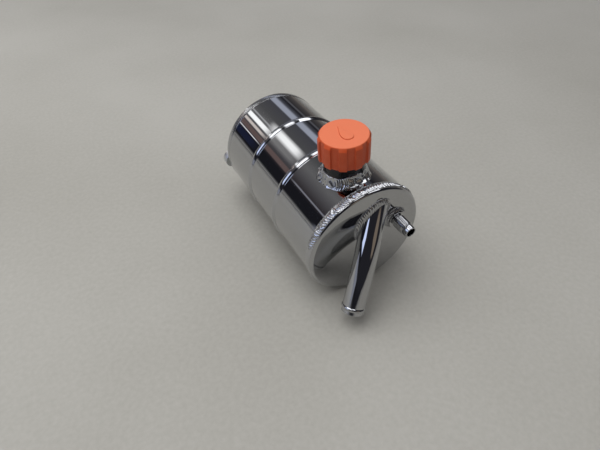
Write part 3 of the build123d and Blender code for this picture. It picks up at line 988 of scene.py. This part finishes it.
for subpart in frame["record"]["subparts"]:
    node = nodes[subpart["node"]]
    node.data.materials[0] = MATERIALS[subpart["material_slot"]]
# The filler neck gets the nearly black colour as painted shade under the cap.
nodes["filler_neck"].data.materials[0] = MATERIALS["turned_aluminium"]


# Floor, light and camera

def room_colour(colour):
    """A colour of the room at its level of light."""
    return *(ROOM_LEVEL * part for part in colour), 1


def studio_world():
    """Soft light from above; in reflections, a dim room with soft boxes and dark cloths along the can."""
    world = bpy.data.worlds.new("studio")
    bpy.context.scene.world = world
    world.use_nodes = True
    world.cycles.sampling_method = "NONE"
    tree = world.node_tree
    split = tree.nodes.new("ShaderNodeSeparateXYZ")
    tree.links.new(tree.nodes.new("ShaderNodeTexCoord").outputs["Generated"], split.inputs[0])
    x, y, z = split.outputs["X"], split.outputs["Y"], split.outputs["Z"]
    squares = maths(tree, "ADD", maths(tree, "MULTIPLY", x, x), maths(tree, "MULTIPLY", z, z))
    reach = maths(tree, "SQRT", squares)
    turn = maths(tree, "DEGREES", maths(tree, "ARCCOSINE", maths(tree, "DIVIDE", x, reach)))
    room = tree.nodes.new("ShaderNodeValToRGB")
    tree.links.new(maths(tree, "DIVIDE", turn, 180), room.inputs["Fac"])
    stops = room.color_ramp.elements
    stops.remove(stops[1])
    stops[0].color = room_colour(ROOM[0][1])
    for angle, colour in ROOM[1:]:
        stops.new(angle / 180).color = room_colour(colour)
    shown = room.outputs["Color"]
    for start, stop, near, far, soft, colour in SOFT_BOXES:
        past_start, before_stop = maths(tree, "SUBTRACT", turn, start), maths(tree, "SUBTRACT", stop, turn)
        inside = maths(tree, "MINIMUM", past_start, before_stop)
        wide = remap(tree, inside, -soft / 2, soft / 2, 0.0, 1.0)
        along = maths(tree, "MINIMUM", maths(tree, "SUBTRACT", y, near), maths(tree, "SUBTRACT", far, y))
        long = remap(tree, along, -BOX_END, BOX_END, 0.0, 1.0)
        box = tree.nodes.new("ShaderNodeMix")
        box.data_type = "RGBA"
        box.inputs["B"].default_value = room_colour(colour)
        tree.links.new(maths(tree, "MULTIPLY", wide, long), box.inputs["Factor"])
        tree.links.new(shown, box.inputs["A"])
        shown = box.outputs["Result"]
    sky = tree.nodes.new("ShaderNodeMix")
    sky.data_type = "RGBA"
    sky.inputs["A"].default_value = (*SOFT_LIGHT_LOW, 1)
    sky.inputs["B"].default_value = (*SOFT_LIGHT_HIGH, 1)
    tree.links.new(z, sky.inputs["Factor"])
    path = tree.nodes.new("ShaderNodeLightPath")
    lit = tree.nodes.new("ShaderNodeMix")
    lit.data_type = "RGBA"
    tree.links.new(sky.outputs["Result"], lit.inputs["A"])
    tree.links.new(path.outputs["Is Glossy Ray"], lit.inputs["Factor"])
    tree.links.new(shown, lit.inputs["B"])
    seen = tree.nodes.new("ShaderNodeMix")
    seen.data_type = "RGBA"
    seen.inputs["B"].default_value = (*BACKDROP, 1)
    tree.links.new(path.outputs["Is Camera Ray"], seen.inputs["Factor"])
    tree.links.new(lit.outputs["Result"], seen.inputs["A"])
    tree.links.new(seen.outputs["Result"], tree.nodes["Background"].inputs["Color"])


def overhead_lamp():
    """Broad soft lamp above the can, to the left and a little behind."""
    data = bpy.data.lights.new("overhead_lamp", "AREA")
    data.size = LAMP_SIZE
    data.energy = LAMP_POWER
    lamp = bpy.data.objects.new("overhead_lamp", data)
    lamp.location = LAMP_PLACE
    lamp.rotation_euler = LAMP_TURN
    lamp.visible_glossy = False
    bpy.context.scene.collection.objects.link(lamp)


def pale_floor():
    """Wide floor that the can lies on."""
    half, level = FLOOR_HALF, cad_box[0].z
    corners = [(-half, -half, level), (half, -half, level), (half, half, level), (-half, half, level)]
    mesh = bpy.data.meshes.new("floor")
    mesh.from_pydata(corners, [], [(0, 1, 2, 3)])
    mesh.materials.append(floor_material())
    floor = bpy.data.objects.new("floor", mesh)
    bpy.context.scene.collection.objects.link(floor)


def photo_camera():
    """Camera at the photograph's viewpoint."""
    turn, down = math.radians(CAMERA_TURN), math.radians(CAMERA_DOWN)
    forward = Vector((-math.sin(turn) * math.cos(down), math.cos(turn) * math.cos(down), -math.sin(down)))
    data = bpy.data.cameras.new("camera")
    data.sensor_width = CAMERA_SENSOR
    data.lens = CAMERA_LENS
    camera = bpy.data.objects.new("camera", data)
    camera.location = CAMERA_PLACE
    camera.rotation_euler = forward.to_track_quat("-Z", "Y").to_euler()
    bpy.context.scene.collection.objects.link(camera)
    bpy.context.scene.camera = camera


studio_world()
overhead_lamp()
pale_floor()
photo_camera()
bpy.context.scene.view_settings.view_transform = "Standard"
